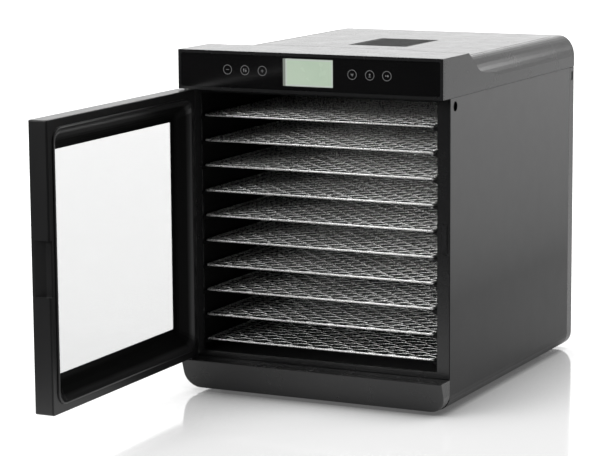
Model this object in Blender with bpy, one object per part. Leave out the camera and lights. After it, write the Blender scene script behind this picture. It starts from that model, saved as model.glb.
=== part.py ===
"""Ten-tray food dehydrator with a glass door, as separate named pieces.

The cabinet stands on four feet at z = 0.  x runs across the front, y runs back into the depth from
the face of the control head, and z is up.  The door is shown open, on its pins at the left.
"""

import math

import bmesh
import bpy
from mathutils import Matrix, Vector

# Cabinet
WIDTH = 0.340
HALF = WIDTH / 2
DEPTH = 0.4285
SHEET = 0.0012
SHELL_FRONT = 0.0215
SHELL_REAR = 0.4110
SHELL_BOTTOM = 0.0040
BOTTOM_RADIUS = 0.018
PLUG_Y = 0.0354
PLUG_Z = 0.3574
GAP = 0.0003

# Head and top cover
SEAM_Z = 0.3675
HEAD_TOP = 0.4145
MAIN_TOP = 0.4070
HEAD_REAR = 0.0757
HEAD_BOW = 0.0163
HEAD_BOW_SHARES = ((0.088, 1.0), (0.094, 0.80), (0.100, 0.40), (0.110, 0.27), (0.120, 0.20), (0.135, 0.0))
HEAD_SLOPE_END = 0.138
FILLET_WIDTH = 0.021
FILLET_DROP = 0.026
FILLET_STEPS = 9
SEAM_WIDTH = 0.0013
SEAM_DEPTH = 0.0010
COVER_WALL = 0.0025
HINGE_BOSS = 0.0100
BEZEL_DEPTH = 0.0042
BEZEL_SIDE = 0.0038

# Display and top grille
DISPLAY_SIZE = (0.0645, 0.0322)
DISPLAY_Z = 0.3921
GRILLE_CENTRE = (-0.003, 0.251)
GRILLE_SIZE = (0.078, 0.101)
GRILLE_SLOTS = 12

# Front frame and chamber
OPENING_HALF = 0.153
OPENING_BOTTOM = 0.048
OPENING_TOP = 0.3625
FRAME_FACE = 0.0235
CHAMBER_FRONT = 0.0272
BAFFLE_Y = 0.3400
REAR_WALL = 0.003

# Trays
TRAY_COUNT = 10
TRAY_TOP_Z = 0.3344
TRAY_PITCH = 0.03026
TRAY_HALF = 0.1500
TRAY_SHIFT = -0.0012
TRAY_FRONT = 0.0250
TRAY_DEPTH = 0.305
TRAY_CORNER = 0.005
RIM_WIRE = 0.0030
LEDGE_REACH = 0.0070

# Chin
CHIN_TOP = 0.0410
CHIN_BOTTOM = 0.0045
CHIN_FRONT = -0.0045
CHIN_LEAN = 0.0125
CHIN_RADIUS = 0.019

# Door, given closed and turned open about its pins
DOOR_OPEN_DEG = 89.1
PIVOT = (-0.1655, 0.0090)
DOOR_LEFT = -0.1690
DOOR_RIGHT = 0.1680
DOOR_BOTTOM = 0.0428
DOOR_TOP = 0.3660
DOOR_FACE = -0.0043
DOOR_INNER = 0.0195
DOOR_BORDER = 0.036
LOWER_BORDER_EXTRA = 0.0024
RIM_START = 0.009
RIM_HEIGHT = 0.0022
OUTER_LIP = 0.019
GRIP_LENGTH = 0.062
PIN_RADIUS = 0.0015
PIN_BORE = 0.0019

# Fan
FAN_CENTRE = (0.0, 0.205)
FAN_RADIUS = 0.075
FAN_BLADES = 7
SHAFT_RADIUS = 0.003

BLACK_SATIN = (0.020, 0.020, 0.021, 1)
BLACK_GLOSS = (0.006, 0.006, 0.007, 1)
BLACK_SOFT = (0.012, 0.012, 0.012, 1)
STEEL = (0.62, 0.62, 0.61, 1)
DARK_STEEL = (0.03, 0.03, 0.032, 1)
DISPLAY_GREY = (0.40, 0.45, 0.38, 1)
BOARD_GREEN = (0.02, 0.12, 0.05, 1)


def clear_scene():
    for item in list(bpy.data.objects):
        bpy.data.objects.remove(item, do_unlink=True)


def make_material(name, colour, roughness, metallic=0.0, alpha=1.0):
    material = bpy.data.materials.new(name)
    material.use_nodes = True
    shader = material.node_tree.nodes["Principled BSDF"]
    shader.inputs["Base Color"].default_value = colour
    shader.inputs["Roughness"].default_value = roughness
    shader.inputs["Metallic"].default_value = metallic
    shader.inputs["Alpha"].default_value = alpha
    material.diffuse_color = colour
    return material


def add_empty(name, location, parent=None):
    empty = bpy.data.objects.new(name, None)
    empty.location = location
    empty.parent = parent
    bpy.context.collection.objects.link(empty)
    return empty


def add_object(name, bm, look, parent, smooth=False):
    """Turns a closed bmesh into a named object; look is (colour, roughness, metallic)."""
    bmesh.ops.recalc_face_normals(bm, faces=bm.faces)
    mesh = bpy.data.meshes.new(name)
    bm.to_mesh(mesh)
    bm.free()
    if smooth:
        mesh.shade_smooth()
        mesh.set_sharp_from_angle(angle=math.radians(35))
    mesh.materials.append(make_material(name, *look))
    item = bpy.data.objects.new(name, mesh)
    item.parent = parent
    bpy.context.collection.objects.link(item)
    return item


def add_box(bm, x, y, z):
    """Adds a box between the (low, high) pairs x, y and z."""
    centre = Vector((sum(x) / 2, sum(y) / 2, sum(z) / 2))
    size = Vector((x[1] - x[0], y[1] - y[0], z[1] - z[0]))
    matrix = Matrix.Translation(centre) @ Matrix.Diagonal((*size, 1))
    return bmesh.ops.create_cube(bm, size=1, matrix=matrix)["verts"]


def add_cylinder(bm, radius, start, end, segments=24):
    """Adds a capped cylinder between two points."""
    start, end = Vector(start), Vector(end)
    turn = (end - start).to_track_quat("Z", "Y").to_matrix().to_4x4()
    matrix = Matrix.Translation((start + end) / 2) @ turn
    bmesh.ops.create_cone(
        bm, cap_ends=True, segments=segments, radius1=radius, radius2=radius,
        depth=(end - start).length, matrix=matrix,
    )


def box_piece(name, x, y, z, look, parent, bevel=0.0):
    bm = bmesh.new()
    add_box(bm, x, y, z)
    if bevel:
        bmesh.ops.bevel(bm, geom=bm.edges[:], offset=bevel, segments=2, affect="EDGES", profile=0.5)
    return add_object(name, bm, look, parent)


def rounded_outline(left, right, low, high, radii, steps=5):
    """Points round a rectangle, from its lower left corner on; radii are LL, LR, UR, UL."""
    corners = (
        (left, low, 1, 1, 180, radii[0]),
        (right, low, -1, 1, 270, radii[1]),
        (right, high, -1, -1, 0, radii[2]),
        (left, high, 1, -1, 90, radii[3]),
    )
    points = []
    for across, up, inward_x, inward_z, first, radius in corners:
        centre = (across + inward_x * radius, up + inward_z * radius)
        for step in range(steps + 1):
            angle = math.radians(first + 90 * step / steps)
            points.append((centre[0] + radius * math.cos(angle), centre[1] + radius * math.sin(angle)))
    return points


def skin(bm, loops, ring=False):
    """Joins equal loops of 3-D points into a closed solid, capped unless it is a ring."""
    rows = [[bm.verts.new(point) for point in loop] for loop in loops]
    count = len(rows[0])
    pairs = list(zip(rows, rows[1:]))
    if ring:
        pairs.append((rows[-1], rows[0]))
    for first, second in pairs:
        for i in range(count):
            j = (i + 1) % count
            bm.faces.new((first[i], first[j], second[j], second[i]))
    if not ring:
        bm.faces.new(rows[0])
        bm.faces.new(reversed(rows[-1]))


def at_depth(outline, y):
    return [(x, y, z) for x, z in outline]


def ring_piece(name, outer, inner, y, look, parent):
    """A flat frame between two outlines, from depth y[0] to y[1]."""
    bm = bmesh.new()
    loops = [at_depth(outer, y[0]), at_depth(outer, y[1]), at_depth(inner, y[1]), at_depth(inner, y[0])]
    skin(bm, loops, ring=True)
    return add_object(name, bm, look, parent)


def cutter(name, bm, parent):
    bmesh.ops.recalc_face_normals(bm, faces=bm.faces)
    mesh = bpy.data.meshes.new(name)
    bm.to_mesh(mesh)
    bm.free()
    item = bpy.data.objects.new(name, mesh)
    item.parent = parent
    item.hide_render = True
    item.display_type = "WIRE"
    bpy.context.collection.objects.link(item)
    return item


def boolean(item, tool, operation="DIFFERENCE"):
    modifier = item.modifiers.new(tool.name, "BOOLEAN")
    modifier.operation = operation
    modifier.solver = "EXACT"
    modifier.object = tool


def opened(point):
    """Where a point of the closed door stands with the door open."""
    angle = math.radians(-DOOR_OPEN_DEG)
    x, y = point[0] - PIVOT[0], point[1] - PIVOT[1]
    return (
        PIVOT[0] + x * math.cos(angle) - y * math.sin(angle),
        PIVOT[1] + x * math.sin(angle) + y * math.cos(angle),
    )


def box_centre():
    """Middle of the whole object's plan with the door open, which becomes the origin."""
    corners = [opened((x, y)) for x in (DOOR_LEFT, DOOR_RIGHT) for y in (DOOR_FACE, DOOR_INNER)]
    rim = [opened((x, DOOR_INNER + RIM_HEIGHT)) for x in (DOOR_LEFT + RIM_START, DOOR_RIGHT - RIM_START)]
    low_x = min(p[0] for p in corners + rim)
    low_y = min(p[1] for p in corners + rim)
    return (low_x + HALF) / 2, (low_y + DEPTH) / 2


def shell_outline(inset):
    """Half-open U of the sheet wrap, bottom edges rounded, as an open list of points."""
    radius = BOTTOM_RADIUS - inset
    side = HALF - inset
    low = SHELL_BOTTOM + inset
    points = [(-side, SEAM_Z - GAP)]
    for sign, first in ((-1, 180), (1, 270)):
        centre = (sign * (side - radius), low + radius)
        for step in range(7):
            angle = math.radians(first + 15 * step)
            points.append((centre[0] + radius * math.cos(angle), centre[1] + radius * math.sin(angle)))
    points.append((side, SEAM_Z - GAP))
    return points


def add_shell(base):
    outline = shell_outline(0.0) + list(reversed(shell_outline(SHEET)))
    bm = bmesh.new()
    skin(bm, [at_depth(outline, SHELL_FRONT), at_depth(outline, SHELL_REAR)])
    shell = add_object("cabinet_shell", bm, (BLACK_SATIN, 0.42, 0.2), base, smooth=True)
    holes = bmesh.new()
    for sign in (-1, 1):
        start = (sign * (HALF - 0.004), PLUG_Y, PLUG_Z)
        add_cylinder(holes, 0.0058, start, (sign * (HALF + 0.002), PLUG_Y, PLUG_Z), 20)
    boolean(shell, cutter("shell_hole_tool", holes, base))
    for side, sign in (("left", -1), ("right", 1)):
        bm = bmesh.new()
        start = (sign * (HALF - 0.0065), PLUG_Y, PLUG_Z)
        add_cylinder(bm, 0.0066, start, (sign * (HALF - SHEET - 0.0018), PLUG_Y, PLUG_Z), 20)
        add_object(f"side_plug_{side}", bm, (BLACK_SOFT, 0.7, 0.0), base, smooth=True)


def add_feet(base):
    for name, x, y in (
        ("foot_front_left", -0.132, 0.050), ("foot_front_right", 0.132, 0.050),
        ("foot_rear_left", -0.132, 0.380), ("foot_rear_right", 0.132, 0.380),
    ):
        bm = bmesh.new()
        add_cylinder(bm, 0.012, (x, y, 0), (x, y, SHELL_BOTTOM - GAP), 20)
        add_object(name, bm, (BLACK_SOFT, 0.85, 0.0), base, smooth=True)


def chin_loop(inset, y, lean):
    outline = rounded_outline(
        -HALF + inset, HALF - inset, CHIN_BOTTOM + inset, CHIN_TOP - inset,
        (CHIN_RADIUS, CHIN_RADIUS, 0.0008, 0.0008), 6,
    )
    height = CHIN_TOP - CHIN_BOTTOM
    return [(x, y + lean * (CHIN_TOP - z) / height, z) for x, z in outline]


def add_chin(base):
    """Lower front moulding, its face leaning back towards the bottom, with rounded lower corners."""
    edge = 0.0012
    bm = bmesh.new()
    skin(bm, [
        chin_loop(edge, CHIN_FRONT, CHIN_LEAN),
        chin_loop(edge * 0.3, CHIN_FRONT + edge * 0.3, CHIN_LEAN),
        chin_loop(0.0, CHIN_FRONT + edge, CHIN_LEAN),
        chin_loop(0.0, SHELL_FRONT - GAP, 0.0),
    ])
    chin = add_object("chin", bm, (BLACK_SATIN, 0.45, 0.0), base, smooth=True)
    bore = bmesh.new()
    add_cylinder(bore, PIN_BORE, (*PIVOT, CHIN_TOP - 0.010), (*PIVOT, CHIN_TOP + 0.002), 16)
    boolean(chin, cutter("chin_bore_tool", bore, base))


def main_top_outline(inset, low):
    """Section of the main top: flat, its two long edges rounded deeper than they are wide."""
    points = [(-HALF + inset, low), (HALF - inset, low)]
    for sign, first in ((1, 0), (-1, 90)):
        for step in range(FILLET_STEPS + 1):
            angle = math.radians(first + 90 * step / FILLET_STEPS)
            points.append((
                sign * (HALF - FILLET_WIDTH) + (FILLET_WIDTH - inset) * math.cos(angle),
                MAIN_TOP - FILLET_DROP + (FILLET_DROP - inset) * math.sin(angle),
            ))
    return points


def head_bow(x):
    """How far the rear edge of the head's top stands back at this x: furthest over the middle."""
    before = HEAD_BOW_SHARES[0]
    for mark in HEAD_BOW_SHARES:
        if abs(x) <= mark[0]:
            run = mark[0] - before[0]
            part = (abs(x) - before[0]) / run if run else 0.0
            return HEAD_BOW * (before[1] + (mark[1] - before[1]) * max(0.0, part))
        before = mark
    return 0.0


def head_stations():
    marks = [mark[0] for mark in HEAD_BOW_SHARES]
    return [-HALF] + [-mark for mark in reversed(marks)] + marks + [HALF]


def head_section(inset, low, bow=0.0):
    """Side view of the raised head: square in front, sloping down at the back and flaring out below."""
    front = BEZEL_DEPTH + GAP
    flare = [
        (HEAD_REAR + bow, HEAD_TOP), (HEAD_REAR + 0.0238, HEAD_TOP - 0.0167),
        (HEAD_REAR + 0.0288, HEAD_TOP - 0.0203), (HEAD_REAR + 0.0343, HEAD_TOP - 0.0231),
        (HEAD_REAR + 0.0413, HEAD_TOP - 0.0251), (HEAD_REAR + 0.0503, HEAD_TOP - 0.0264),
        (HEAD_SLOPE_END, HEAD_TOP - 0.0274), (HEAD_SLOPE_END + 0.010, HEAD_TOP - 0.0292),
        (HEAD_SLOPE_END + 0.026, MAIN_TOP - FILLET_DROP), (HEAD_SLOPE_END + 0.026, low),
    ]
    return [(front + inset, low), (front + inset, HEAD_TOP - inset)] + [
        (y - inset, max(low, z - inset)) for y, z in flare
    ]


def add_top_cover(base):
    bm = bmesh.new()
    outline = main_top_outline(0.0, SEAM_Z)
    skin(bm, [at_depth(outline, BEZEL_DEPTH + 0.006), at_depth(outline, DEPTH)])
    cover = add_object("top_cover", bm, (BLACK_SATIN, 0.40, 0.0), base, smooth=True)

    head = bmesh.new()
    skin(head, [[(x, y, z) for y, z in head_section(0.0, SEAM_Z, head_bow(x))] for x in head_stations()])
    boolean(cover, cutter("head_block_tool", head, base), "UNION")

    hollow = bmesh.new()
    outline = main_top_outline(COVER_WALL, SEAM_Z - 0.004)
    skin(hollow, [at_depth(outline, HEAD_REAR + 0.020), at_depth(outline, DEPTH - COVER_WALL)])
    boolean(cover, cutter("cover_hollow_tool", hollow, base))

    hollow = bmesh.new()
    section = head_section(COVER_WALL, SEAM_Z - 0.004)
    skin(hollow, [[(x, y, z) for y, z in section] for x in (-HALF + HINGE_BOSS, HALF - COVER_WALL)])
    boolean(cover, cutter("head_hollow_tool", hollow, base))

    cuts = bmesh.new()
    add_cylinder(cuts, PIN_BORE, (*PIVOT, SEAM_Z - 0.002), (*PIVOT, SEAM_Z + 0.008), 16)
    x, y = grille_span(GAP)
    add_box(cuts, x, y, (MAIN_TOP - 0.006, MAIN_TOP + 0.002))
    for sign in (-1, 1):
        line = sign * (HALF - FILLET_WIDTH - 0.0012)
        add_box(cuts, (line - SEAM_WIDTH / 2, line + SEAM_WIDTH / 2), (0.1185, 0.402),
                (MAIN_TOP - SEAM_DEPTH, MAIN_TOP + 0.001))
    boolean(cover, cutter("cover_opening_tool", cuts, base))

    line = bmesh.new()
    loops = []
    for x in head_stations():
        rear = HEAD_REAR + head_bow(x) - 0.0012
        reach = x * (1 + 0.002 / HALF)
        loops.append([
            (reach, rear - SEAM_WIDTH, HEAD_TOP - SEAM_DEPTH), (reach, rear, HEAD_TOP - SEAM_DEPTH),
            (reach, rear, HEAD_TOP + 0.001), (reach, rear - SEAM_WIDTH, HEAD_TOP + 0.001),
        ])
    skin(line, loops)
    boolean(cover, cutter("head_seam_tool", line, base))


def grille_span(margin):
    centre_x, centre_y = GRILLE_CENTRE
    half_x, half_y = GRILLE_SIZE[0] / 2 + margin, GRILLE_SIZE[1] / 2 + margin
    return (centre_x - half_x, centre_x + half_x), (centre_y - half_y, centre_y + half_y)


def add_top_grille(base):
    x, y = grille_span(0.0)
    grille = box_piece("top_vent_grille", x, y, (MAIN_TOP - 0.0026, MAIN_TOP - 0.0003),
                       (BLACK_SOFT, 0.6, 0.0), base)
    slots = bmesh.new()
    pitch = (GRILLE_SIZE[1] - 0.008) / GRILLE_SLOTS
    for index in range(GRILLE_SLOTS):
        start = y[0] + 0.004 + index * pitch + pitch * 0.25
        add_box(slots, (x[0] + 0.005, x[1] - 0.005), (start, start + pitch * 0.5),
                (MAIN_TOP - 0.01, MAIN_TOP + 0.01))
    boolean(grille, cutter("grille_slot_tool", slots, base))


def add_control_panel(base):
    radii = (0.0025,) * 4
    outer = rounded_outline(-HALF, HALF, SEAM_Z, HEAD_TOP, (0.0008,) * 4, 4)
    inner = rounded_outline(-HALF + BEZEL_SIDE, HALF - BEZEL_SIDE, SEAM_Z + BEZEL_SIDE,
                            HEAD_TOP - BEZEL_SIDE, radii, 4)
    ring_piece("control_bezel", outer, inner, (0.0, BEZEL_DEPTH), (BLACK_SATIN, 0.35, 0.0), base)

    side = BEZEL_SIDE + GAP
    outline = rounded_outline(-HALF + side, HALF - side, SEAM_Z + side, HEAD_TOP - side, radii, 4)
    width, height = DISPLAY_SIZE
    window = rounded_outline(-width / 2, width / 2, DISPLAY_Z - height / 2, DISPLAY_Z + height / 2,
                             (0.0006,) * 4, 4)
    ring_piece("control_glass", outline, window, (0.0007, 0.0035), (BLACK_GLOSS, 0.06, 0.0), base)
    box_piece(
        "display", (-width / 2 + GAP, width / 2 - GAP), (0.0009, 0.0040),
        (DISPLAY_Z - height / 2 + GAP, DISPLAY_Z + height / 2 - GAP), (DISPLAY_GREY, 0.3, 0.0), base,
    )
    box_piece("touch_board", (-0.112, 0.112), (0.0078, 0.0094), (0.3745, 0.4085), (BOARD_GREEN, 0.5, 0.0), base)


def add_underhead_plate(base):
    """Closes the head from below, beside the solid corner that takes the upper hinge pin."""
    box_piece("underhead_plate", (-HALF + HINGE_BOSS + GAP, HALF - COVER_WALL - GAP), (0.0073, 0.0750),
              (SEAM_Z, SEAM_Z + 0.0016), (BLACK_SATIN, 0.5, 0.0), base)


def add_front_frame(base):
    """Jambs, sill and header round the mouth of the chamber."""
    side = HALF - SHEET - GAP
    low = SHELL_BOTTOM + SHEET + GAP
    radius = BOTTOM_RADIUS - SHEET
    outer = rounded_outline(-side, side, low, SEAM_Z - GAP, (radius, radius, 0.001, 0.001), 5)
    inner = rounded_outline(-OPENING_HALF, OPENING_HALF, OPENING_BOTTOM, OPENING_TOP, (0.002,) * 4, 5)
    ring_piece("front_frame", outer, inner, (FRAME_FACE, CHAMBER_FRONT - 0.0005), (BLACK_SATIN, 0.5, 0.0), base)
    box_piece("strike_plate", (0.1592, 0.1652), (FRAME_FACE - 0.0009, FRAME_FACE - GAP), (0.187, 0.222),
              (DARK_STEEL, 0.4, 0.8), base)


def tray_heights():
    return [TRAY_TOP_Z - index * TRAY_PITCH for index in range(TRAY_COUNT)]


def add_liner(base):
    """Chamber walls: two ribbed rail panels, a floor and a ceiling."""
    y = (CHAMBER_FRONT, BAFFLE_Y - 0.0005)
    wall = OPENING_HALF + 0.0014
    for side, sign in (("left", -1), ("right", 1)):
        low = OPENING_BOTTOM - 0.002
        points = [(wall, low), (OPENING_HALF, low)]
        for height in reversed(tray_heights()):
            top = height - RIM_WIRE / 2 - GAP
            reach = OPENING_HALF - LEDGE_REACH
            points += [(OPENING_HALF, top - 0.004), (reach, top - 0.0022), (reach, top), (OPENING_HALF, top)]
        points += [(OPENING_HALF, OPENING_TOP + 0.001), (wall, OPENING_TOP + 0.001)]
        bm = bmesh.new()
        skin(bm, [[(sign * x, depth, z) for x, z in points] for depth in y])
        add_object(f"tray_rails_{side}", bm, (BLACK_SOFT, 0.55, 0.0), base)
    reach = OPENING_HALF - GAP
    box_piece("chamber_floor", (-reach, reach), y, (OPENING_BOTTOM - 0.0016, OPENING_BOTTOM - GAP),
              (DARK_STEEL, 0.35, 0.6), base)
    box_piece("chamber_ceiling", (-reach, reach), y, (OPENING_TOP + GAP, OPENING_TOP + 0.0016),
              (DARK_STEEL, 0.35, 0.6), base)


def add_baffle(base):
    """Perforated wall between the trays and the fan: a square pattern of slots over the fan."""
    baffle = box_piece("air_baffle", (-0.1655, 0.1655), (BAFFLE_Y, BAFFLE_Y + SHEET), (0.0350, SEAM_Z - 0.001),
                       (DARK_STEEL, 0.4, 0.6), base)
    slots = bmesh.new()
    for row in range(7):
        z = FAN_CENTRE[1] - 0.078 + row * 0.026
        for column in (-1, 0, 1):
            x = column * 0.056
            add_box(slots, (x - 0.022, x + 0.022), (BAFFLE_Y - 0.002, BAFFLE_Y + 0.004), (z - 0.004, z + 0.004))
    boolean(baffle, cutter("baffle_slot_tool", slots, base))


def add_heater(base):
    """Ring element behind the baffle, with its two legs turned back to the terminals."""
    ring_radius, tube, y = 0.095, 0.0035, 0.350
    bm = bmesh.new()
    path = []
    for step in range(31):
        angle = math.radians(-80 + 340 * step / 30)
        path.append(Vector((ring_radius * math.cos(angle), y, FAN_CENTRE[1] + ring_radius * math.sin(angle))))
    path = [path[0] + Vector((0, 0.030, 0))] + path + [path[-1] + Vector((0, 0.030, 0))]
    loops = []
    for index, point in enumerate(path):
        ahead = path[min(index + 1, len(path) - 1)] - path[max(index - 1, 0)]
        turn = ahead.to_track_quat("Z", "Y").to_matrix()
        loops.append([
            point + turn @ Vector((tube * math.cos(a), tube * math.sin(a), 0))
            for a in (math.radians(45 * k) for k in range(8))
        ])
    skin(bm, loops)
    add_object("heater_ring", bm, (DARK_STEEL, 0.4, 0.9), base, smooth=True)


def add_fan(base):
    """Impeller and shaft turn together about the y axis; their origin is on the shaft."""
    hub_y = 0.362
    pivot = add_empty("fan_axis", (FAN_CENTRE[0], hub_y, FAN_CENTRE[1]), base)
    bm = bmesh.new()
    add_cylinder(bm, 0.016, (0, -0.008, 0), (0, 0.007, 0), 24)
    impeller = add_object("fan_impeller", bm, (STEEL, 0.35, 0.9), pivot, smooth=True)
    blades = bmesh.new()
    for blade in range(FAN_BLADES):
        verts = add_box(blades, (0.013, FAN_RADIUS), (-0.0006, 0.0006), (-0.010, 0.010))
        pitch = Matrix.Rotation(math.radians(28), 4, "X")
        spin = Matrix.Rotation(math.tau * blade / FAN_BLADES, 4, "Y")
        bmesh.ops.transform(blades, matrix=spin @ pitch, verts=verts)
    boolean(impeller, cutter("fan_blade_tool", blades, pivot), "UNION")
    bore = bmesh.new()
    add_cylinder(bore, SHAFT_RADIUS + GAP, (0, -0.02, 0), (0, 0.02, 0), 16)
    boolean(impeller, cutter("hub_bore_tool", bore, pivot))
    bm = bmesh.new()
    add_cylinder(bm, SHAFT_RADIUS, (0, -0.011, 0), (0, 0.030, 0), 16)
    add_object("motor_shaft", bm, (STEEL, 0.25, 1.0), pivot, smooth=True)


def add_motor(base):
    x, z = FAN_CENTRE
    bm = bmesh.new()
    add_cylinder(bm, 0.030, (x, 0.3790, z), (x, 0.4060, z), 32)
    motor = add_object("fan_motor", bm, (STEEL, 0.4, 0.8), base, smooth=True)
    bore = bmesh.new()
    add_cylinder(bore, SHAFT_RADIUS + 0.0006, (x, 0.370, z), (x, 0.3945, z), 16)
    boolean(motor, cutter("motor_bore_tool", bore, base))
    bracket = box_piece("motor_bracket", (x - 0.080, x + 0.080), (0.3765, 0.3785), (z - 0.022, z + 0.022),
                        (STEEL, 0.45, 0.7), base)
    hole = bmesh.new()
    add_cylinder(hole, 0.008, (x, 0.370, z), (x, 0.385, z), 20)
    boolean(bracket, cutter("bracket_hole_tool", hole, base))
    for side, sign in (("left", -1), ("right", 1)):
        bm = bmesh.new()
        post = x + sign * 0.073
        add_cylinder(bm, 0.004, (post, 0.3788, z), (post, DEPTH - REAR_WALL - GAP, z), 12)
        add_object(f"bracket_post_{side}", bm, (STEEL, 0.4, 0.8), base, smooth=True)


def add_rear(base):
    """Rear cover pan, its intake grille, the mains inlet and four screws."""
    outline = rounded_outline(-HALF, HALF, SHELL_BOTTOM, SEAM_Z - GAP,
                              (BOTTOM_RADIUS, BOTTOM_RADIUS, 0.001, 0.001), 6)
    inner = rounded_outline(-HALF + 0.002, HALF - 0.002, SHELL_BOTTOM + 0.002, SEAM_Z - GAP - 0.002,
                            (BOTTOM_RADIUS - 0.002, BOTTOM_RADIUS - 0.002, 0.001, 0.001), 6)
    front = SHELL_REAR + GAP
    floor = DEPTH - REAR_WALL
    bm = bmesh.new()
    skin(bm, [
        at_depth(inner, floor), at_depth(inner, front), at_depth(outline, front),
        at_depth(outline, DEPTH - 0.001), at_depth(shrink(outline, 0.001), DEPTH),
    ])
    cover = add_object("rear_cover", bm, (BLACK_SATIN, 0.5, 0.0), base, smooth=True)
    cuts = bmesh.new()
    half = 0.061
    z = FAN_CENTRE[1]
    add_box(cuts, (-half, half), (floor - 0.005, DEPTH + 0.005), (z - half, z + half))
    inlet_x, inlet_z = (0.095, 0.125), (0.030, 0.054)
    add_box(cuts, (inlet_x[0] - GAP, inlet_x[1] + GAP), (floor - 0.005, DEPTH + 0.005),
            (inlet_z[0] - GAP, inlet_z[1] + GAP))
    for sign in (-1, 1):
        side = sorted((sign * (HALF - 0.0008), sign * (HALF + 0.004)))
        add_box(cuts, side, (0.4142, 0.4236), (0.3508, 0.3618))
    screws = ((-0.150, 0.345), (0.150, 0.345), (-0.150, 0.045), (0.150, 0.045))
    for index, (x, height) in enumerate(screws):
        add_cylinder(cuts, 0.0042, (x, DEPTH - 0.0018, height), (x, DEPTH + 0.002, height), 14)
        bm = bmesh.new()
        add_cylinder(bm, 0.0035, (x, DEPTH - 0.0015, height), (x, DEPTH - 0.0002, height), 14)
        add_object(f"rear_screw_{index + 1}", bm, (STEEL, 0.3, 1.0), base, smooth=True)
    boolean(cover, cutter("rear_opening_tool", cuts, base))

    grille = box_piece("rear_intake_grille", (-half + GAP, half - GAP), (floor, DEPTH - 0.0004),
                       (z - half + GAP, z + half - GAP), (BLACK_SOFT, 0.6, 0.0), base)
    slots = bmesh.new()
    for row in range(9):
        height = z - 0.048 + row * 0.012
        for sign in (-1, 1):
            side = sorted((sign * 0.0035, sign * 0.053))
            add_box(slots, side, (floor - 0.004, DEPTH + 0.004), (height - 0.0032, height + 0.0032))
    boolean(grille, cutter("intake_slot_tool", slots, base))

    inlet = box_piece("power_inlet", inlet_x, (0.4060, DEPTH - 0.0002), inlet_z, (BLACK_SOFT, 0.5, 0.0), base)
    socket = bmesh.new()
    add_box(socket, (inlet_x[0] + 0.003, inlet_x[1] - 0.003), (0.4100, DEPTH + 0.004),
            (inlet_z[0] + 0.0035, inlet_z[1] - 0.0035))
    boolean(inlet, cutter("socket_tool", socket, base))
    for index, (x, height) in enumerate(((0.1035, 0.0400), (0.1100, 0.0445), (0.1165, 0.0400))):
        box_piece(f"inlet_contact_{index + 1}", (x - 0.002, x + 0.002), (0.4103, 0.4220),
                  (height - 0.001, height + 0.001), (STEEL, 0.25, 1.0), base)


def shrink(outline, amount):
    """Moves an outline's points towards its middle by an equal amount on each axis."""
    mid_x = sum(x for x, _ in outline) / len(outline)
    mid_z = sum(z for _, z in outline) / len(outline)
    return [
        (x - math.copysign(amount, x - mid_x), z - math.copysign(amount, z - mid_z)) for x, z in outline
    ]


def add_electronics(base):
    box_piece("power_board", (-0.060, 0.060), (0.115, 0.195), (0.3720, 0.3736), (BOARD_GREEN, 0.5, 0.0), base)
    bm = bmesh.new()
    add_cylinder(bm, 0.0025, (0.120, BAFFLE_Y - 0.018, 0.352), (0.120, BAFFLE_Y - GAP, 0.352), 12)
    add_object("temperature_probe", bm, (STEEL, 0.25, 1.0), base, smooth=True)


def door_loop(inset, y, radius, steps=5):
    """A rounded rectangle set in from the door's edge, relative to the hinge axis.

    The border is a little wider at the bottom, so the low edge climbs faster past the rim.
    """
    share = max(0.0, inset - RIM_START) / (DOOR_BORDER - RIM_START)
    low = DOOR_BOTTOM + inset + LOWER_BORDER_EXTRA * share
    outline = rounded_outline(
        DOOR_LEFT + inset, DOOR_RIGHT - inset, low, DOOR_TOP - inset, (radius,) * 4, steps,
    )
    return [(x - PIVOT[0], y - PIVOT[1], z) for x, z in outline]


def door_profile_loops(profile):
    return [door_loop(inset, y, radius, 4) for inset, y, radius in profile]


def outer_frame_profile():
    """Section of the outer frame as (inset from the edge, y, corner radius)."""
    edge = 0.0010
    back = DOOR_INNER - 0.0015
    return (
        (0.0, DOOR_FACE + edge, 0.0016), (edge * 0.3, DOOR_FACE + edge * 0.3, 0.0014), (edge, DOOR_FACE, 0.001),
        (OUTER_LIP - 0.0015, DOOR_FACE, 0.0050), (OUTER_LIP, DOOR_FACE + 0.0015, 0.0040),
        (OUTER_LIP, DOOR_FACE + 0.0040, 0.0040), (0.0075, DOOR_FACE + 0.0040, 0.002),
        (0.0075, back - GAP, 0.002), (0.0006, back - GAP, 0.0016), (0.0, back - GAP - 0.0006, 0.0016),
    )


def inner_frame_profile():
    """Section of the dished inner frame: flat border, raised rim, then a slope down to the pane."""
    face = DOOR_INNER
    crest = face + RIM_HEIGHT
    back = face - 0.0015
    pane = DOOR_FACE + 0.0088
    return (
        (0.0, back, 0.0016), (0.0, face - 0.0006, 0.0016), (0.0006, face, 0.0016),
        (RIM_START - 0.0002, face, 0.0152), (RIM_START, crest - 0.0010, 0.0150),
        (RIM_START + 0.0007, crest - 0.0003, 0.0146), (RIM_START + 0.0018, crest, 0.0142),
        (RIM_START + 0.0034, crest - 0.0006, 0.0136), (RIM_START + 0.0055, crest - 0.0022, 0.0128),
        (RIM_START + 0.0095, crest - 0.0062, 0.0112), (RIM_START + 0.0140, crest - 0.0110, 0.0092),
        (RIM_START + 0.0175, crest - 0.0139, 0.0076), (RIM_START + 0.0205, crest - 0.0154, 0.0062),
        (RIM_START + 0.0225, pane + 0.0014, 0.0052), (DOOR_BORDER - 0.0006, pane + 0.0014, 0.0018),
        (DOOR_BORDER, pane + 0.0008, 0.0016), (DOOR_BORDER, pane, 0.0016),
        (RIM_START + 0.0195, pane, 0.0060), (RIM_START + 0.0120, crest - 0.0116, 0.0080),
        (RIM_START + 0.0070, crest - 0.0064, 0.0100), (RIM_START + 0.0035, back, 0.0120),
    )


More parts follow.
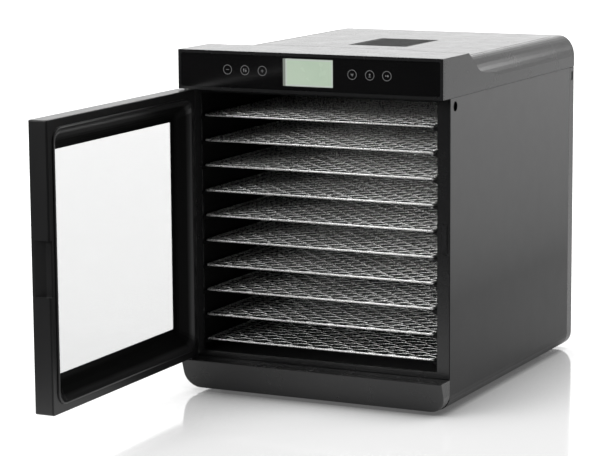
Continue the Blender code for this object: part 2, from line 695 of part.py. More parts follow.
def add_door(base):
    axis = add_empty("door_axis", (*PIVOT, 0), base)
    axis.rotation_euler.z = math.radians(-DOOR_OPEN_DEG)

    bm = bmesh.new()
    skin(bm, door_profile_loops(outer_frame_profile()), ring=True)
    frame = add_object("door_frame", bm, (BLACK_SATIN, 0.4, 0.0), axis, smooth=True)
    middle = (DOOR_BOTTOM + DOOR_TOP) / 2
    edge = DOOR_RIGHT - PIVOT[0]
    grip = bmesh.new()
    grip_span = (middle - GRIP_LENGTH / 2, middle + GRIP_LENGTH / 2)
    scoop = (
        (edge + 0.003, DOOR_FACE + 0.0025), (edge, DOOR_FACE + 0.0040), (edge - 0.0030, DOOR_FACE + 0.0105),
        (edge - 0.0052, DOOR_FACE + 0.0150), (edge - 0.0052, DOOR_INNER), (edge + 0.003, DOOR_INNER),
    )
    skin(grip, [[(x, y - PIVOT[1], z) for x, y in scoop] for z in grip_span])
    for low, high in ((DOOR_BOTTOM - 0.002, DOOR_BOTTOM + 0.014), (DOOR_TOP - 0.014, DOOR_TOP + 0.002)):
        add_cylinder(grip, PIN_BORE, (0, 0, low), (0, 0, high), 16)
    boolean(frame, cutter("grip_tool", grip, axis))

    bm = bmesh.new()
    skin(bm, door_profile_loops(inner_frame_profile()), ring=True)
    inner = add_object("door_inner_frame", bm, (BLACK_SATIN, 0.38, 0.0), axis, smooth=True)
    notch = bmesh.new()
    add_box(notch, (edge - 0.0042, edge + 0.003),
            (DOOR_INNER - 0.003 - PIVOT[1], DOOR_INNER + 0.002 - PIVOT[1]), grip_span)
    boolean(inner, cutter("notch_tool", notch, axis))

    bm = bmesh.new()
    inset = 0.0165
    skin(bm, [door_loop(inset, y, 0.004) for y in (DOOR_FACE + 0.0043, DOOR_FACE + 0.0085)])
    add_object("door_glass", bm, ((0.95, 0.95, 0.95, 1), 0.05, 0.0, 0.25), axis, smooth=True)

    box_piece("door_magnet", (edge - 0.0145, edge - 0.0085), (0.0075 - PIVOT[1], 0.0160 - PIVOT[1]),
              (middle - 0.015, middle + 0.015), (DARK_STEEL, 0.4, 0.8), axis)

    for name, low, high in (
        ("hinge_pin_lower", CHIN_TOP - 0.0085, DOOR_BOTTOM + 0.0125),
        ("hinge_pin_upper", DOOR_TOP - 0.0125, SEAM_Z + 0.0036),
    ):
        bm = bmesh.new()
        add_cylinder(bm, PIN_RADIUS, (0, 0, low), (0, 0, high), 12)
        add_object(name, bm, (STEEL, 0.25, 1.0), axis, smooth=True)


def tray_mesh():
    """Rim wire of one tray about its own centre, as a rounded frame."""
    half_y = TRAY_DEPTH / 2
    reach = RIM_WIRE / 2
    bm = bmesh.new()
    radii = (TRAY_CORNER,) * 4
    inner_radii = (TRAY_CORNER - RIM_WIRE,) * 4
    outer = rounded_outline(-TRAY_HALF, TRAY_HALF, -half_y, half_y, radii, 3)
    inner = rounded_outline(-TRAY_HALF + RIM_WIRE, TRAY_HALF - RIM_WIRE, -half_y + RIM_WIRE, half_y - RIM_WIRE,
                            inner_radii, 3)
    loops = [
        [(x, y, -reach) for x, y in outer], [(x, y, reach) for x, y in outer],
        [(x, y, reach) for x, y in inner], [(x, y, -reach) for x, y in inner],
    ]
    skin(bm, loops, ring=True)
    return bm


def sheet_tool(parent, name):
    """Thin sheet reaching into the rim wire, which the windows then turn into cross bars."""
    bm = bmesh.new()
    reach_x, reach_y = TRAY_HALF - RIM_WIRE / 2, TRAY_DEPTH / 2 - RIM_WIRE / 2
    outline = rounded_outline(-reach_x, reach_x, -reach_y, reach_y, (TRAY_CORNER - RIM_WIRE / 2,) * 4, 3)
    skin(bm, [[(x, y, z) for x, y in outline] for z in (-0.0005, 0.0005)])
    return cutter(name, bm, parent)


def window_tool(parent, name):
    """The openings of the lattice, four each way."""
    bm = bmesh.new()
    count, bar = 4, 0.006
    reach_x, reach_y = TRAY_HALF - 0.008, TRAY_DEPTH / 2 - 0.008
    step_x, step_y = (2 * reach_x + bar) / count, (2 * reach_y + bar) / count
    for column in range(count):
        for row in range(count):
            x, y = -reach_x + column * step_x, -reach_y + row * step_y
            add_box(bm, (x, x + step_x - bar), (y, y + step_y - bar), (-0.004, 0.004))
    return cutter(name, bm, parent)


def add_trays(base):
    centre_y = TRAY_FRONT + TRAY_DEPTH / 2
    for index, height in enumerate(tray_heights()):
        slide = add_empty(f"tray_{index + 1:02d}_slide", (TRAY_SHIFT, centre_y, height), base)
        tray = add_object(f"tray_{index + 1:02d}", tray_mesh(), (STEEL, 0.3, 1.0), slide, smooth=True)
        boolean(tray, sheet_tool(slide, f"tray_sheet_tool_{index + 1:02d}"), "UNION")
        boolean(tray, window_tool(slide, f"tray_window_tool_{index + 1:02d}"))


def main():
    clear_scene()
    centre = box_centre()
    base = add_empty("base", (-centre[0], -centre[1], 0))
    add_shell(base)
    add_feet(base)
    add_chin(base)
    add_top_cover(base)
    add_top_grille(base)
    add_control_panel(base)
    add_underhead_plate(base)
    add_front_frame(base)
    add_liner(base)
    add_baffle(base)
    add_heater(base)
    add_fan(base)
    add_motor(base)
    add_rear(base)
    add_electronics(base)
    add_door(base)
    add_trays(base)
    bpy.context.view_layer.update()


main()
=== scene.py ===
import math

import bmesh
import bpy
from mathutils import Matrix, Vector


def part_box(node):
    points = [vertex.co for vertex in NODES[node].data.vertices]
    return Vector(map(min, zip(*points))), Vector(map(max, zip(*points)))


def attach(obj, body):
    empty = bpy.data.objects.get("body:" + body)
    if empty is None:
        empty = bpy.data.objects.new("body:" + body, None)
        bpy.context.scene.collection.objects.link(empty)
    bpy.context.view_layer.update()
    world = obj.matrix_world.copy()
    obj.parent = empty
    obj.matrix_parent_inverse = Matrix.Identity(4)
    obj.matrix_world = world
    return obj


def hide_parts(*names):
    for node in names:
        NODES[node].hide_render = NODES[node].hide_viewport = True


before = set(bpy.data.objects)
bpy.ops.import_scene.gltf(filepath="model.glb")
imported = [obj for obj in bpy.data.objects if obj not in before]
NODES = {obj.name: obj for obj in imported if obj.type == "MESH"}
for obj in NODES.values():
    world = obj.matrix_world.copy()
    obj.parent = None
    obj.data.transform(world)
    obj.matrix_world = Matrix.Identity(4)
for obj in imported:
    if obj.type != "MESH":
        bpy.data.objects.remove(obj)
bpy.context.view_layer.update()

# Plan origin of the cabinet: middle of its width, at the face of the control head.
bezel_low, bezel_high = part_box("control_bezel")
ORIGIN = Vector(((bezel_low.x + bezel_high.x) / 2, bezel_low.y, 0))


def at(x, y, z):
    return ORIGIN + Vector((x, y, z))


# ---------------------------------------------------------------- camera, lights, stage

# Turn of the view from straight ahead, its dip below level and its tilt, in radians.
CAMERA_YAW = 0.459847
CAMERA_PITCH = 0.163339
CAMERA_ROLL = -0.00741
CAMERA_PLACE = (1.23511, -2.51579, 0.67323)
CAMERA_LENS = 146.31


def make_camera():
    yaw, pitch, roll = CAMERA_YAW, CAMERA_PITCH, CAMERA_ROLL
    forward = Vector((
        -math.sin(yaw) * math.cos(pitch), math.cos(yaw) * math.cos(pitch), -math.sin(pitch),
    ))
    right = Vector((math.cos(yaw), math.sin(yaw), 0))
    down = forward.cross(right)
    across = math.cos(roll) * right - math.sin(roll) * down
    below = math.sin(roll) * right + math.cos(roll) * down
    data = bpy.data.cameras.new("camera")
    data.sensor_fit = "HORIZONTAL"
    data.sensor_width = 36
    data.lens = CAMERA_LENS
    data.clip_start = 0.05
    data.clip_end = 60
    camera = bpy.data.objects.new("camera", data)
    turn = Matrix((across, -below, -forward)).transposed()
    camera.matrix_world = Matrix.Translation(at(*CAMERA_PLACE)) @ turn.to_4x4()
    bpy.context.collection.objects.link(camera)
    bpy.context.scene.camera = camera


def area_light(name, place, target, size, power):
    data = bpy.data.lights.new(name, "AREA")
    data.shape = "RECTANGLE"
    data.size, data.size_y = size
    data.energy = power
    light = bpy.data.objects.new(name, data)
    light.location = place
    light.rotation_euler = (target - place).to_track_quat("-Z", "Y").to_euler()
    light.visible_camera = False
    bpy.context.collection.objects.link(light)


# How bright the studio is in front of the object, behind it to the left and right, and high up.
FRONT_GLOW = 0.05
BACK_LEFT_GLOW = 2.35
BACK_RIGHT_GLOW = 0.62
BACK_TOP_SHARE = 0.33


def make_world():
    """White studio: bright behind the object, dim in front of it, plain white to the camera."""
    world = bpy.data.worlds.new("studio")
    bpy.context.scene.world = world
    world.use_nodes = True
    tree = world.node_tree
    tree.nodes.clear()
    out = tree.nodes.new("ShaderNodeOutputWorld")
    mix = tree.nodes.new("ShaderNodeMixShader")
    plain = tree.nodes.new("ShaderNodeBackground")
    plain.inputs["Strength"].default_value = 1.0
    plain.inputs["Color"].default_value = (1, 1, 1, 1)
    lit = tree.nodes.new("ShaderNodeBackground")
    path = tree.nodes.new("ShaderNodeLightPath")
    coords = tree.nodes.new("ShaderNodeTexCoord")
    split = tree.nodes.new("ShaderNodeSeparateXYZ")
    tree.links.new(coords.outputs["Generated"], split.inputs[0])

    def ramp(axis, start, end, low, high):
        made = tree.nodes.new("ShaderNodeMapRange")
        made.interpolation_type = "SMOOTHSTEP"
        for key, value in (("From Min", start), ("From Max", end), ("To Min", low), ("To Max", high)):
            made.inputs[key].default_value = value
        tree.links.new(split.outputs[axis], made.inputs["Value"])
        return made

    back = ramp("X", -0.1, 0.35, BACK_LEFT_GLOW, BACK_RIGHT_GLOW)
    height = ramp("Z", 0.15, 0.45, 1.0, BACK_TOP_SHARE)
    product = tree.nodes.new("ShaderNodeMath")
    product.operation = "MULTIPLY"
    tree.links.new(back.outputs["Result"], product.inputs[0])
    tree.links.new(height.outputs["Result"], product.inputs[1])
    whole = ramp("Y", -0.05, 0.5, FRONT_GLOW, 1.0)
    tree.links.new(product.outputs["Value"], whole.inputs["To Max"])
    tree.links.new(whole.outputs["Result"], lit.inputs["Strength"])
    tree.links.new(path.outputs["Is Camera Ray"], mix.inputs["Fac"])
    tree.links.new(lit.outputs[0], mix.inputs[1])
    tree.links.new(plain.outputs[0], mix.inputs[2])
    tree.links.new(mix.outputs[0], out.inputs["Surface"])


# Each soft light: name, place, what it faces, width and height, power in watts.
SOFT_LIGHTS = (
    ("key_softbox", (-1.35, -2.3, 1.45), (0, 0.05, 0.2), (1.3, 1.0), 22),
    ("side_softbox", (1.05, 1.35, 0.85), (0.1, 0.1, 0.2), (0.9, 0.7), 6),
    ("top_softbox", (-0.4, -0.5, 2.5), (0, 0.2, 0), (1.8, 1.8), 34),
)
# The floor: its half width, its front and rear edges, its glow, and how far from things standing on it the
# painted contact shadow reaches.
FLOOR_HALF_WIDTH = 7
FLOOR_FRONT = -0.55
FLOOR_REAR = 9
FLOOR_GLOW = 0.58
FLOOR_PAINTED_SHADOW_REACH = 0.20


def make_stage():
    make_world()
    for name, place, target, size, power in SOFT_LIGHTS:
        area_light(name, at(*place), at(*target), size, power)
    mesh = bpy.data.meshes.new("floor")
    corners = [
        (-FLOOR_HALF_WIDTH, FLOOR_FRONT), (FLOOR_HALF_WIDTH, FLOOR_FRONT),
        (FLOOR_HALF_WIDTH, FLOOR_REAR), (-FLOOR_HALF_WIDTH, FLOOR_REAR),
    ]
    mesh.from_pydata([(x, y, 0) for x, y in corners], [], [(0, 1, 2, 3)])
    floor = bpy.data.objects.new("floor", mesh)
    bpy.context.collection.objects.link(floor)
    mesh.materials.append(floor_white("floor_white"))


def floor_white(name):
    """Glossy white table that glows, with a painted contact shadow where something stands close over it.
    """
    material, shader, tree = new_material(name)
    painted_shadow_ao = node(tree, "AmbientOcclusion", Distance=FLOOR_PAINTED_SHADOW_REACH)
    painted_shadow_ao.samples = 12
    painted_shadow_factor = spread(tree, painted_shadow_ao.outputs["AO"], 0.18, 1.0, 0.25, 0.88)
    # Painted contact shadow: the floor's colour and glow drop where the ambient occlusion finds something
    # close above it.
    tone = blend_colour(tree, painted_shadow_factor, (0.04, 0.04, 0.04), (0.55, 0.55, 0.55))
    tree.links.new(tone, shader.inputs["Base Color"])
    tree.links.new(spread(tree, noise(tree, 5.0, 3.0), 0.085, 0.095), shader.inputs["Roughness"])
    shader.inputs["Emission Color"].default_value = (1, 1, 1, 1)
    glow = node(tree, "Math", operation="MULTIPLY")
    glow.inputs[1].default_value = FLOOR_GLOW
    tree.links.new(painted_shadow_factor, glow.inputs[0])
    tree.links.new(glow.outputs["Value"], shader.inputs["Emission Strength"])
    return material


# ---------------------------------------------------------------- materials

def new_material(name):
    material = bpy.data.materials.new(name)
    material.use_nodes = True
    tree = material.node_tree
    return material, tree.nodes["Principled BSDF"], tree


def node(tree, kind, **values):
    made = tree.nodes.new("ShaderNode" + kind)
    for key, value in values.items():
        if key in made.inputs:
            made.inputs[key].default_value = value
        else:
            setattr(made, key, value)
    return made


def noise(tree, scale, detail=3.0, roughness=0.5, stretch=(1, 1, 1)):
    """Noise over the piece's own coordinates, in metres."""
    coords = node(tree, "TexCoord")
    mapping = node(tree, "Mapping")
    mapping.inputs["Scale"].default_value = stretch
    made = node(tree, "TexNoise", Scale=scale, Detail=detail, Roughness=roughness)
    tree.links.new(coords.outputs["Object"], mapping.inputs["Vector"])
    tree.links.new(mapping.outputs["Vector"], made.inputs["Vector"])
    return made.outputs["Fac"]


def spread(tree, source, low, high, start=0.35, end=0.65):
    made = node(tree, "MapRange")
    made.inputs["From Min"].default_value = start
    made.inputs["From Max"].default_value = end
    made.inputs["To Min"].default_value = low
    made.inputs["To Max"].default_value = high
    tree.links.new(source, made.inputs["Value"])
    return made.outputs["Result"]


def blend_colour(tree, factor, first, second):
    mix = node(tree, "Mix", data_type="RGBA")
    mix.inputs[6].default_value = (*first, 1)
    mix.inputs[7].default_value = (*second, 1)
    tree.links.new(factor, mix.inputs[0])
    return mix.outputs[2]


def add_bump(tree, shader, source, strength, distance):
    bump = node(tree, "Bump", Strength=strength, Distance=distance)
    tree.links.new(source, bump.inputs["Height"])
    tree.links.new(bump.outputs["Normal"], shader.inputs["Normal"])


def edge_wear(tree, start=0.53, end=0.62):
    geometry = node(tree, "NewGeometry")
    return spread(tree, geometry.outputs["Pointiness"], 0.0, 1.0, start, end)


def satin(name, colour, lighter, rough, grain, depth, specular=0.5):
    """Satin moulding or coating: fine grain in the bump, soft drift in colour and gloss, paler edges."""
    material, shader, tree = new_material(name)
    shader.inputs["Metallic"].default_value = 0.0
    shader.inputs["Specular IOR Level"].default_value = specular
    drift = noise(tree, 9.0, 4.0, 0.6)
    base = blend_colour(tree, spread(tree, drift, 0.0, 1.0), colour, lighter)
    mix = node(tree, "Mix", data_type="RGBA")
    tree.links.new(edge_wear(tree), mix.inputs[0])
    tree.links.new(base, mix.inputs[6])
    mix.inputs[7].default_value = (*[min(1, c * 1.15) for c in lighter], 1)
    tree.links.new(mix.outputs[2], shader.inputs["Base Color"])
    smear = noise(tree, 34.0, 5.0, 0.65)
    tree.links.new(spread(tree, smear, rough - 0.012, rough + 0.018), shader.inputs["Roughness"])
    add_bump(tree, shader, noise(tree, grain, 2.0, 0.5), 0.3, depth)
    return material


def climb(tree, start, end, low, high):
    """A value that drifts from low to high between two heights."""
    coords = node(tree, "TexCoord")
    split = node(tree, "SeparateXYZ")
    tree.links.new(coords.outputs["Object"], split.inputs[0])
    return spread(tree, split.outputs["Z"], low, high, start, end)


def bright_metal(name, colour, darker, rough, stretch=(1, 1, 1)):
    """Drawn or brushed metal: streaks run along the long side of the stretch."""
    material, shader, tree = new_material(name)
    shader.inputs["Metallic"].default_value = 1.0
    streak = noise(tree, 160.0, 4.0, 0.6, stretch)
    base = blend_colour(tree, spread(tree, streak, 0.0, 1.0), colour, darker)
    tree.links.new(base, shader.inputs["Base Color"])
    gloss = spread(tree, noise(tree, 420.0, 3.0), rough - 0.06, rough + 0.08)
    tree.links.new(gloss, shader.inputs["Roughness"])
    add_bump(tree, shader, streak, 0.25, 0.0002)
    return material


def wire_metal(name):
    """Electropolished wire: nearly even, with small breaks in its gloss."""
    material, shader, tree = new_material(name)
    shader.inputs["Metallic"].default_value = 1.0
    tone = spread(tree, noise(tree, 120.0, 3.0), 0.0, 1.0)
    base = blend_colour(tree, tone, (0.74, 0.74, 0.73), (0.62, 0.62, 0.61))
    tree.links.new(base, shader.inputs["Base Color"])
    tree.links.new(spread(tree, noise(tree, 500.0, 2.0), 0.24, 0.34), shader.inputs["Roughness"])
    return material


def gloss_panel(name):
    """Printed black glass: smooth, with faint wipe marks in its gloss."""
    material, shader, tree = new_material(name)
    tint = spread(tree, noise(tree, 14.0, 3.0), 0.0, 1.0)
    tree.links.new(blend_colour(tree, tint, (0.0045, 0.0045, 0.0048), (0.0060, 0.0058, 0.0062)),
                   shader.inputs["Base Color"])
    wipe = noise(tree, 22.0, 5.0, 0.7, (1.0, 1.0, 3.5))
    tree.links.new(spread(tree, wipe, 0.10, 0.14), shader.inputs["Roughness"])
    return material


def pane(name):
    """Clear pane, with a trace of drift in its tint and gloss."""
    material, shader, tree = new_material(name)
    tint = spread(tree, noise(tree, 6.0, 3.0), 0.0, 1.0)
    base = blend_colour(tree, tint, (0.10, 0.11, 0.11), (0.13, 0.14, 0.14))
    tree.links.new(base, shader.inputs["Base Color"])
    shader.inputs["Alpha"].default_value = 0.25
    tree.links.new(spread(tree, noise(tree, 30.0, 4.0), 0.02, 0.05), shader.inputs["Roughness"])
    return material


# Widths of the display's dark strip, of the border beside it, and of the border on its other edges.
DISPLAY_STRIP = 0.0032
DISPLAY_BORDER_LEFT = 0.0021
DISPLAY_BORDER_RIGHT = 0.0017
DISPLAY_BORDER_LEVEL = 0.0019


def display_face(name):
    """Pale grey-green field inside a lighter border, with a darker strip down its left side."""
    low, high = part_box("display")
    material, shader, tree = new_material(name)
    coords = node(tree, "TexCoord")
    split = node(tree, "SeparateXYZ")
    tree.links.new(coords.outputs["Object"], split.inputs[0])

    def beyond(axis, value, above):
        step = node(tree, "Math", operation="GREATER_THAN" if above else "LESS_THAN")
        step.inputs[1].default_value = value
        tree.links.new(split.outputs[axis], step.inputs[0])
        return step.outputs[0]

    def largest(*sources):
        result = sources[0]
        for source in sources[1:]:
            top = node(tree, "Math", operation="MAXIMUM")
            tree.links.new(result, top.inputs[0])
            tree.links.new(source, top.inputs[1])
            result = top.outputs[0]
        return result

    strip = low.x + DISPLAY_STRIP
    border = largest(
        beyond("X", strip + DISPLAY_BORDER_LEFT, False), beyond("X", high.x - DISPLAY_BORDER_RIGHT, True),
        beyond("Z", low.z + DISPLAY_BORDER_LEVEL, False), beyond("Z", high.z - DISPLAY_BORDER_LEVEL, True),
    )
    mottle = spread(tree, noise(tree, 40.0, 2.0), 0.0, 1.0)
    field = blend_colour(tree, mottle, (0.355, 0.440, 0.345), (0.375, 0.455, 0.362))
    mix = node(tree, "Mix", data_type="RGBA")
    tree.links.new(border, mix.inputs[0])
    tree.links.new(field, mix.inputs[6])
    mix.inputs[7].default_value = (0.395, 0.44, 0.395, 1)
    dark = node(tree, "Mix", data_type="RGBA")
    tree.links.new(beyond("X", strip, False), dark.inputs[0])
    tree.links.new(mix.outputs[2], dark.inputs[6])
    dark.inputs[7].default_value = (0.17, 0.185, 0.165, 1)
    tree.links.new(dark.outputs[2], shader.inputs["Base Color"])
    tree.links.new(dark.outputs[2], shader.inputs["Emission Color"])
    shader.inputs["Emission Strength"].default_value = 0.72
    tree.links.new(spread(tree, noise(tree, 60.0, 3.0), 0.18, 0.28), shader.inputs["Roughness"])
    return material


def printed_mark_painted_glow(name):
    material, shader, tree = new_material(name)
    grain = spread(tree, noise(tree, 900.0, 2.0), 0.0, 1.0)
    tone = blend_colour(tree, grain, (0.12, 0.12, 0.122), (0.17, 0.17, 0.173))
    tree.links.new(tone, shader.inputs["Base Color"])
    # Painted glow: the print's own grey is set to glow as well, standing in for the light it catches on
    # the black glass.
    tree.links.new(tone, shader.inputs["Emission Color"])
    shader.inputs["Emission Strength"].default_value = 0.6
    tree.links.new(spread(tree, noise(tree, 300.0, 2.0), 0.3, 0.45), shader.inputs["Roughness"])
    return material


# The open door's turn, the rim's crest past the pins, and where below it the dish begins and is dull.
DOOR_TURN = math.radians(89.1)
CREST_HEIGHT = 0.0127
DISH_START = 0.0024
DISH_DULL = 0.0060


def dished_frame(name):
    """Inner door frame: satin border and rim, with a dull black dish below the rim's crest."""
    material, shader, tree = new_material(name)
    pin_low, pin_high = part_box("hinge_pin_upper")
    pivot = (pin_low + pin_high) / 2
    normal = Vector((math.sin(DOOR_TURN), math.cos(DOOR_TURN), 0))
    coords = node(tree, "TexCoord")
    level = node(tree, "VectorMath", operation="DOT_PRODUCT")
    tree.links.new(coords.outputs["Object"], level.inputs[0])
    level.inputs[1].default_value = normal
    crest = normal.dot(pivot) + CREST_HEIGHT
    dish = spread(tree, level.outputs["Value"], 1.0, 0.0, crest - DISH_DULL, crest - DISH_START)
    grain = spread(tree, noise(tree, 12.0, 3.0), 0.0, 1.0)
    rim = blend_colour(tree, grain, (0.012, 0.012, 0.0125), (0.015, 0.015, 0.0155))
    mix = node(tree, "Mix", data_type="RGBA")
    tree.links.new(dish, mix.inputs[0])
    tree.links.new(rim, mix.inputs[6])
    mix.inputs[7].default_value = (0.0035, 0.0035, 0.0035, 1)
    tree.links.new(mix.outputs[2], shader.inputs["Base Color"])
    tree.links.new(spread(tree, dish, 0.5, 0.09, 0.0, 1.0), shader.inputs["Specular IOR Level"])
    tree.links.new(spread(tree, dish, 0.28, 0.5, 0.0, 1.0), shader.inputs["Roughness"])
    add_bump(tree, shader, noise(tree, 3000.0, 2.0), 0.3, 0.00002)
    return material


def circuit(name):
    """Green board with darker track areas."""
    material, shader, tree = new_material(name)
    cells = node(tree, "TexVoronoi", Scale=180.0)
    coords = node(tree, "TexCoord")
    tree.links.new(coords.outputs["Object"], cells.inputs["Vector"])
    tree.links.new(blend_colour(tree, cells.outputs["Distance"], (0.012, 0.10, 0.035), (0.03, 0.17, 0.06)),
                   shader.inputs["Base Color"])
    tree.links.new(spread(tree, noise(tree, 90.0), 0.35, 0.5), shader.inputs["Roughness"])
    add_bump(tree, shader, cells.outputs["Distance"], 0.3, 0.0003)
    return material


def paint(material, *names):
    for name in names:
        mesh = NODES[name].data
        mesh.materials.clear()
        mesh.materials.append(material)


# Heights between which the shell's coat reflects more and more, a painted sheen that brightens its sides
# toward the top, and its index of refraction at each.
PAINTED_SHEEN_LOW = (0.13, 1.21)
PAINTED_SHEEN_HIGH = (0.36, 1.63)
MOULDING_IOR = 1.56


def paint_black_parts():
    shell = satin(
        "shell_coat", (0.012, 0.012, 0.0125), (0.0135, 0.0135, 0.014), 0.30, 2600.0, 0.00003,
    )
    tree = shell.node_tree
    low, high = PAINTED_SHEEN_LOW, PAINTED_SHEEN_HIGH
    # Painted sheen: the coat's index of refraction climbs with height, so the sides reflect brighter
    # toward the top.
    gloss = climb(tree, low[0], high[0], low[1], high[1])
    tree.links.new(gloss, tree.nodes["Principled BSDF"].inputs["IOR"])
    paint(shell, "cabinet_shell")

    body = satin(
        "body_moulding", (0.011, 0.011, 0.0115), (0.0125, 0.0125, 0.013), 0.26, 3200.0, 0.00002,
    )
    body.node_tree.nodes["Principled BSDF"].inputs["IOR"].default_value = MOULDING_IOR
    paint(body, "top_cover", "chin", "control_bezel", "front_frame", "underhead_plate", "rear_cover")

    # Painted light: the door's moulding is the body's black plastic made paler, standing in for the
    # brighter gleam on the door's edge.
    door = satin(
        "door_moulding_painted_lighter", (0.028, 0.028, 0.0285), (0.031, 0.031, 0.0315), 0.32, 3000.0, 0.00002,
    )
    paint(door, "door_frame")
    paint(dished_frame("door_dish"), "door_inner_frame")

    fittings = satin(
        "black_fittings", (0.008, 0.008, 0.008), (0.012, 0.012, 0.012), 0.55, 1800.0, 0.0001,
    )
    paint(fittings, "top_vent_grille", "rear_intake_grille", "power_inlet",
          "side_plug_left", "side_plug_right")

    dull = ((0.003, 0.003, 0.003), (0.004, 0.004, 0.004), 0.6)
    rails = satin("rail_moulding", *dull, 1500.0, 0.00004, specular=0.2)
    paint(rails, "tray_rails_left", "tray_rails_right")
    liner = satin("liner_coat", *dull, 900.0, 0.00004, specular=0.2)
    paint(liner, "chamber_floor", "chamber_ceiling", "air_baffle")

    rubber = satin("foot_rubber", (0.010, 0.010, 0.010), (0.018, 0.018, 0.018), 0.80, 1200.0, 0.0002)
    paint(rubber, *[f"foot_{end}_{side}" for end in ("front", "rear") for side in ("left", "right")])


def paint_clear_and_printed_parts():
    paint(gloss_panel("panel_gloss"), "control_glass")
    paint(display_face("display_face"), "display")
    paint(pane("door_pane"), "door_glass")
    paint(circuit("board_green"), "touch_board", "power_board")


def paint_metal_parts():
    heater = bright_metal("heater_tube", (0.09, 0.085, 0.08), (0.04, 0.036, 0.034), 0.5)
    paint(heater, "heater_ring")
    fan = bright_metal("fan_sheet", (0.60, 0.60, 0.61), (0.45, 0.45, 0.46), 0.35, (1, 1, 6))
    paint(fan, "fan_impeller")
    motor = bright_metal("motor_zinc", (0.55, 0.55, 0.54), (0.40, 0.40, 0.39), 0.4)
    paint(motor, "fan_motor", "motor_bracket", "bracket_post_left", "bracket_post_right")
    latch = bright_metal("latch_coat", (0.05, 0.05, 0.052), (0.03, 0.03, 0.03), 0.45)
    paint(latch, "door_magnet", "strike_plate")
    pins = bright_metal("pin_bright", (0.66, 0.66, 0.66), (0.50, 0.50, 0.50), 0.25, (1, 1, 0.1))
    paint(pins, "hinge_pin_lower", "hinge_pin_upper", "motor_shaft", "temperature_probe",
          *[f"inlet_contact_{number}" for number in (1, 2, 3)],
          *[f"rear_screw_{number}" for number in (1, 2, 3, 4)])


# ---------------------------------------------------------------- new pieces

def finish_piece(name, bm, material, body, smooth=True):
    bmesh.ops.recalc_face_normals(bm, faces=bm.faces)
    mesh = bpy.data.meshes.new(name)
    bm.to_mesh(mesh)
    bm.free()
    if smooth:
        mesh.shade_smooth()
    mesh.materials.append(material)
    piece = bpy.data.objects.new(name, mesh)
    bpy.context.collection.objects.link(piece)
    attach(piece, body)
    return piece


def tube(bm, points, radius, sides, closed=False):
    """Sweeps a round section along points in a nearly level path."""
    count = len(points)
    rings = []
    for index, point in enumerate(points):
        before = points[index - 1] if closed or index else point
        after = points[(index + 1) % count] if closed or index < count - 1 else point
        along = (after - before).normalized()
        side = Vector((along.y, -along.x, 0)).normalized()
        above = side.cross(along)
        rings.append([
            bm.verts.new(point + radius * (math.cos(a) * side + math.sin(a) * above))
            for a in (math.tau * k / sides for k in range(sides))
        ])
    pairs = list(zip(rings, rings[1:]))
    if closed:
        pairs.append((rings[-1], rings[0]))
    for first, second in pairs:
        for k in range(sides):
            j = (k + 1) % sides
            bm.faces.new((first[k], first[j], second[j], second[k]))
    if not closed:
        bm.faces.new(rings[0])
        bm.faces.new(reversed(rings[-1]))


# Tray wires: rim, weave, and the rounding of the rim's corners.
RIM_RADIUS = 0.0015
RIM_SIDES = 8
WIRE_RADIUS = 0.0007
MESH_PITCH = 0.01333
WIRE_SIDES = 6
WIRE_LIFT = 1.02
WAVE_STEPS = 4
CORNER_RADIUS = 0.0035


def rim_path(half_x, half_y, radius, steps=6):
    points = []
    for sign_x, sign_y, first in ((-1, -1, 180), (1, -1, 270), (1, 1, 0), (-1, 1, 90)):
        centre = Vector((sign_x * (half_x - radius), sign_y * (half_y - radius), 0))
        for step in range(steps + 1):
            angle = math.radians(first + 90 * step / steps)
            points.append(centre + radius * Vector((math.cos(angle), math.sin(angle), 0)))
    return points


def wire_reach(half_a, half_b, radius, offset):
    """How far a wire runs along b at this offset along a, inside a rounded rectangle."""
    over = abs(offset) - (half_a - radius)
    if over <= 0:
        return half_b
    return half_b - radius + math.sqrt(max(0.0, radius * radius - over * over))


def tray_weave(centre, half_x, half_y):
    """Plain weave: each wire passes over and under its neighbours by turns, and ends on the rim."""
    bm = bmesh.new()
    tube(bm, [centre + p for p in rim_path(half_x, half_y, CORNER_RADIUS)], RIM_RADIUS, RIM_SIDES, True)
    lift = WIRE_RADIUS * WIRE_LIFT
    for along_x in (True, False):
        half_a, half_b = (half_y, half_x) if along_x else (half_x, half_y)
        lines = int(half_a / MESH_PITCH)
        cross = int(half_b / MESH_PITCH)
        for line in range(-lines, lines + 1):
            offset = line * MESH_PITCH
            reach = wire_reach(half_a, half_b, CORNER_RADIUS, offset)
            points = []
            for step in range(-WAVE_STEPS * cross, WAVE_STEPS * cross + 1):
                place = step * MESH_PITCH / WAVE_STEPS
                if abs(place) > reach - MESH_PITCH / (2 * WAVE_STEPS):
                    continue
                swing = math.cos(math.pi * (line + step / WAVE_STEPS)) * lift
                points.append((place, swing if along_x else -swing))
            points = [(-reach, 0.0)] + points + [(reach, 0.0)]
            path = [
                centre + (Vector((b, offset, h)) if along_x else Vector((offset, b, h)))
                for b, h in points
            ]
            tube(bm, path, WIRE_RADIUS, WIRE_SIDES)
    return bm


def add_trays():
    steel = wire_metal("tray_wire")
    for index in range(1, 11):
        name = f"tray_{index:02d}"
        low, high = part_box(name)
        centre = (low + high) / 2
        bm = tray_weave(centre, (high.x - low.x) / 2 - RIM_RADIUS, (high.y - low.y) / 2 - RIM_RADIUS)
        piece = finish_piece(name + "_weave", bm, steel, name)
        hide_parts(name)


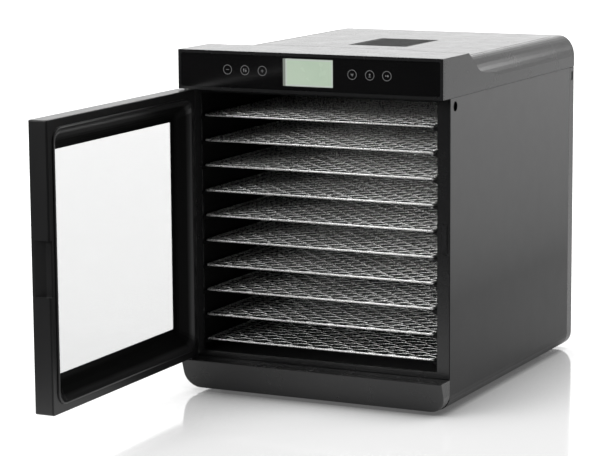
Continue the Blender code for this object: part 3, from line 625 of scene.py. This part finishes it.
def flat_shape(bm, outline, y, thick, hole=None):
    """A thin printed shape facing the front, from (x, z) points and, if wanted, those of a hole."""
    back = y + thick
    front_ring = [bm.verts.new(at(x, y, z)) for x, z in outline]
    back_ring = [bm.verts.new(at(x, back, z)) for x, z in outline]
    count = len(outline)
    for i in range(count):
        j = (i + 1) % count
        bm.faces.new((front_ring[i], front_ring[j], back_ring[j], back_ring[i]))
    if hole is None:
        bm.faces.new(front_ring)
        bm.faces.new(reversed(back_ring))
        return
    inner_front = [bm.verts.new(at(x, y, z)) for x, z in hole]
    inner_back = [bm.verts.new(at(x, back, z)) for x, z in hole]
    for i in range(count):
        j = (i + 1) % count
        bm.faces.new((front_ring[i], front_ring[j], inner_front[j], inner_front[i]))
        bm.faces.new((back_ring[i], back_ring[j], inner_back[j], inner_back[i]))
        bm.faces.new((inner_front[i], inner_front[j], inner_back[j], inner_back[i]))


def circle(x, z, radius, steps=32):
    angles = [math.tau * k / steps for k in range(steps)]
    return [(x + radius * math.cos(a), z + radius * math.sin(a)) for a in angles]


def block(x, z, width, height):
    return [(x - width / 2, z - height / 2), (x + width / 2, z - height / 2),
            (x + width / 2, z + height / 2), (x - width / 2, z + height / 2)]


# Touch marks: height of their row, radii of their rings, and the print's lift and thickness.
MARK_Z = 0.3925
MARK_OUTER = 0.0057
MARK_INNER = 0.0051
PRINT_LIFT = 0.00006
PRINT_THICK = 0.00005
LINE = 0.0006


def add_icons():
    """Six ringed touch marks on the panel, each with a plain sign of its own."""
    mark = printed_mark_painted_glow("printed_mark_painted_glow")
    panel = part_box("control_glass")[0].y - ORIGIN.y
    y, z = panel - PRINT_LIFT, MARK_Z

    def icon(name, x, shapes):
        bm = bmesh.new()
        flat_shape(bm, circle(x, z, MARK_OUTER), y, PRINT_THICK, circle(x, z, MARK_INNER))
        for shape in shapes:
            flat_shape(bm, shape, y, PRINT_THICK)
        finish_piece(name, bm, mark, "cabinet", smooth=False)

    x = -0.1044
    icon("icon_minus", x, [block(x, z, 0.0036, LINE)])
    x = -0.0816
    icon("icon_mode", x, [
        block(x - 0.0014, z + 0.0006, 0.0015, 0.0026), block(x - 0.0014, z - 0.0016, 0.0010, 0.0008),
        block(x + 0.0013, z - 0.0008, 0.0017, 0.0022), block(x + 0.0013, z + 0.0014, 0.0008, 0.0010),
    ])
    x = -0.0588
    icon("icon_plus", x, [
        block(x, z, 0.0034, LINE), block(x, z + 0.0011, LINE, 0.0014), block(x, z - 0.0011, LINE, 0.0014),
    ])
    x = 0.0566
    icon("icon_leaf", x, [
        [(x, z - 0.0022), (x + 0.0014, z - 0.0006),
         (x + 0.0016, z + 0.0016), (x + 0.0003, z + 0.0004)],
        [(x - 0.0003, z - 0.0014), (x - 0.0002, z + 0.0002),
         (x - 0.0014, z + 0.0014), (x - 0.0016, z)],
    ])
    x = 0.0788
    icon("icon_lamp", x, [
        circle(x, z + 0.0008, 0.0011, 14), block(x, z - 0.0008, 0.0007, 0.0009),
        block(x, z - 0.0019, 0.0030, LINE),
    ])
    x = 0.1002
    icon("icon_run", x, [circle(x - 0.0013, z, 0.0008, 12), circle(x + 0.0012, z, 0.0012, 14)])


make_camera()
make_stage()
paint_black_parts()
paint_clear_and_printed_parts()
paint_metal_parts()
add_trays()
add_icons()

bpy.context.scene.view_settings.view_transform = "Standard"
bpy.context.view_layer.update()
